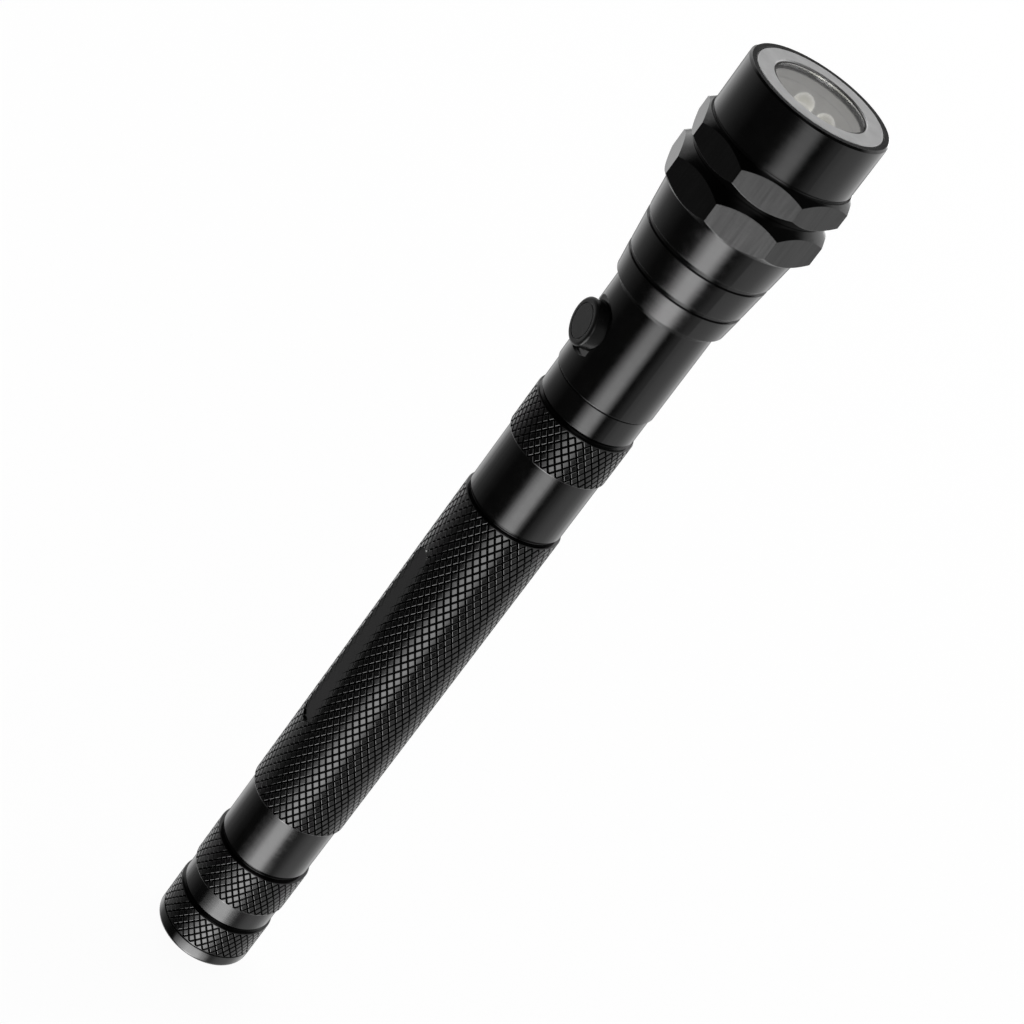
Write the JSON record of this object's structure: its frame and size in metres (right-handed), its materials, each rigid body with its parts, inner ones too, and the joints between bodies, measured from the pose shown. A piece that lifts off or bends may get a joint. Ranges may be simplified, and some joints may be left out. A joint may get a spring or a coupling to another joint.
{
  "type": "magnetic pickup tool",
  "caption": "Telescoping magnetic pickup tool with a knurled handle, nested tubes, a flexible neck and a lamp head with a ring magnet round its lens.",
  "frame": {"origin": "centre of the tail's end face, which is also the face of the tail magnet", "axes": "+Z along the tool towards the lamp, closed and standing on its tail; the push button and the label flat face -Y; the neck bends towards +X"},
  "size_m": [0.0248, 0.0248, 0.1715],
  "materials": {
    "black_anodised": "black anodised, satin",
    "button_black": "black anodised, satin",
    "black_rubber": "matte",
    "plated_cup": "zinc plated",
    "magnet_nickel": "nickel plated, satin",
    "clear_lens": "clear, polished",
    "led_epoxy": "water clear epoxy",
    "holder_plastic": "moulded, matte",
    "board_green": "solder mask",
    "contact_nickel": "nickel plated",
    "switch_plastic": "moulded, matte",
    "sleeve_plastic": "translucent white",
    "cell_steel": "plated",
    "slug_brass": "turned",
    "spring_bronze": "rolled",
    "neck_chrome": "bright",
    "chrome_tube": "bright",
    "satin_tube": "satin, bright rolled mouth"
  },
  "bodies": {
    "handle": {"handle_tube": "black_anodised", "mouth_collar": "black_anodised"},
    "tail_seal": {"tail_o_ring": "black_rubber"},
    "tail_cap": {"tail_cap": "black_anodised", "tail_magnet_cup": "plated_cup", "tail_magnet": "magnet_nickel"},
    "tube_1": {"tube_1": "satin_tube", "friction_sleeve_1": "spring_bronze"},
    "tube_2": {"tube_2": "chrome_tube", "friction_sleeve_2": "spring_bronze"},
    "tube_3": {"tube_3": "chrome_tube", "friction_sleeve_3": "spring_bronze"},
    "tube_4": {"tube_4": "chrome_tube", "friction_sleeve_4": "spring_bronze"},
    "tube_5": {"tube_5": "chrome_tube", "friction_sleeve_5": "spring_bronze"},
    "neck_slider": {"neck_friction_sleeve": "spring_bronze"},
    "neck_base": {"neck_slug": "slug_brass", "neck_coil_base": "neck_chrome"},
    "neck_link_1": {"neck_link_01": "neck_chrome"},
    "neck_link_2": {"neck_link_02": "neck_chrome"},
    "neck_link_3": {"neck_link_03": "neck_chrome"},
    "head": {"neck_coil_end": "neck_chrome", "neck_ferrule": "slug_brass", "neck_lock_nut": "slug_brass", "head_barrel": "black_anodised", "bezel_o_ring": "black_rubber", "switch_carrier": "holder_plastic", "switch_body": "switch_plastic", "switch_spring": "contact_nickel", "switch_board": "board_green", "rear_contact": "contact_nickel", "battery_sleeve": "sleeve_plastic", "button_cells": "cell_steel"},
    "button": {"switch_button": "button_black", "switch_plunger": "switch_plastic"},
    "lamp_module": {"led_holder": "holder_plastic", "leds": "led_epoxy", "led_board": "board_green", "contact_spring": "contact_nickel"},
    "bezel": {"front_bezel": "black_anodised", "ring_magnet": "magnet_nickel", "lens": "clear_lens", "lens_gasket": "black_rubber"}
  },
  "joints": [
    {"name": "tail_cap_lift", "type": "slide", "parent": "handle", "child": "tail_seal", "axis": [0, 0, 1], "range_m": [-0.005, 0]},
    {"name": "tail_cap_turn", "type": "hinge", "parent": "tail_seal", "child": "tail_cap", "pos_m": [0, 0, 0], "axis": [0, 0, 1], "range_deg": [-1800, 0]},
    {"name": "tube_1_slide", "type": "slide", "parent": "handle", "child": "tube_1", "axis": [0, 0, 1], "range_m": [0, 0.0499]},
    {"name": "tube_2_slide", "type": "slide", "parent": "tube_1", "child": "tube_2", "axis": [0, 0, 1], "range_m": [0, 0.073]},
    {"name": "tube_3_slide", "type": "slide", "parent": "tube_2", "child": "tube_3", "axis": [0, 0, 1], "range_m": [0, 0.0696]},
    {"name": "tube_4_slide", "type": "slide", "parent": "tube_3", "child": "tube_4", "axis": [0, 0, 1], "range_m": [0, 0.0698]},
    {"name": "tube_5_slide", "type": "slide", "parent": "tube_4", "child": "tube_5", "axis": [0, 0, 1], "range_m": [0, 0.0705]},
    {"name": "neck_slide", "type": "slide", "parent": "tube_5", "child": "neck_slider", "axis": [0, 0, 1], "range_m": [0, 0.055], "deforming": ["neck_coil_base", "neck_link_01", "neck_link_02", "neck_link_03", "neck_coil_end"]},
    {"name": "neck_swivel", "type": "hinge", "parent": "neck_slider", "child": "neck_base", "pos_m": [0, 0, 0.055], "axis": [0, 0, 1], "continuous": true},
    {"name": "neck_bend_01", "type": "hinge", "parent": "neck_base", "child": "neck_link_1", "pos_m": [0, 0, 0.06811], "axis": [0, 1, 0], "range_deg": [0, 18.75]},
    {"name": "neck_bend_02", "type": "hinge", "parent": "neck_link_1", "child": "neck_link_2", "pos_m": [0, 0, 0.08194], "axis": [0, 1, 0], "range_deg": [0, 18.75]},
    {"name": "neck_bend_03", "type": "hinge", "parent": "neck_link_2", "child": "neck_link_3", "pos_m": [0, 0, 0.09576], "axis": [0, 1, 0], "range_deg": [0, 18.75]},
    {"name": "neck_bend_04", "type": "hinge", "parent": "neck_link_3", "child": "head", "pos_m": [0, 0, 0.10959], "axis": [0, 1, 0], "range_deg": [0, 18.75]},
    {"name": "switch_press", "type": "slide", "parent": "head", "child": "button", "axis": [0, -1, 0], "range_m": [-0.0008, 0], "stiffness_N_per_m": 300, "springref_m": 0.0005, "deforming": ["switch_spring"]},
    {"name": "bezel_lift", "type": "slide", "parent": "head", "child": "lamp_module", "axis": [0, 0, -1], "range_m": [-0.005, 0]},
    {"name": "bezel_turn", "type": "hinge", "parent": "lamp_module", "child": "bezel", "pos_m": [0, 0, 0.165], "axis": [0, 0, -1], "range_deg": [-1800, 0]}
  ],
  "couplings": [
    {"joint": "tail_cap_turn", "follows": "tail_cap_lift", "rad_per_m": 6283.2},
    {"joint": "neck_bend_01", "follows": "neck_slide", "rad_per_m": 5.95},
    {"joint": "neck_bend_02", "follows": "neck_slide", "rad_per_m": 5.95},
    {"joint": "neck_bend_03", "follows": "neck_slide", "rad_per_m": 5.95},
    {"joint": "neck_bend_04", "follows": "neck_slide", "rad_per_m": 5.95},
    {"joint": "bezel_turn", "follows": "bezel_lift", "rad_per_m": 6283.2}
  ]
}
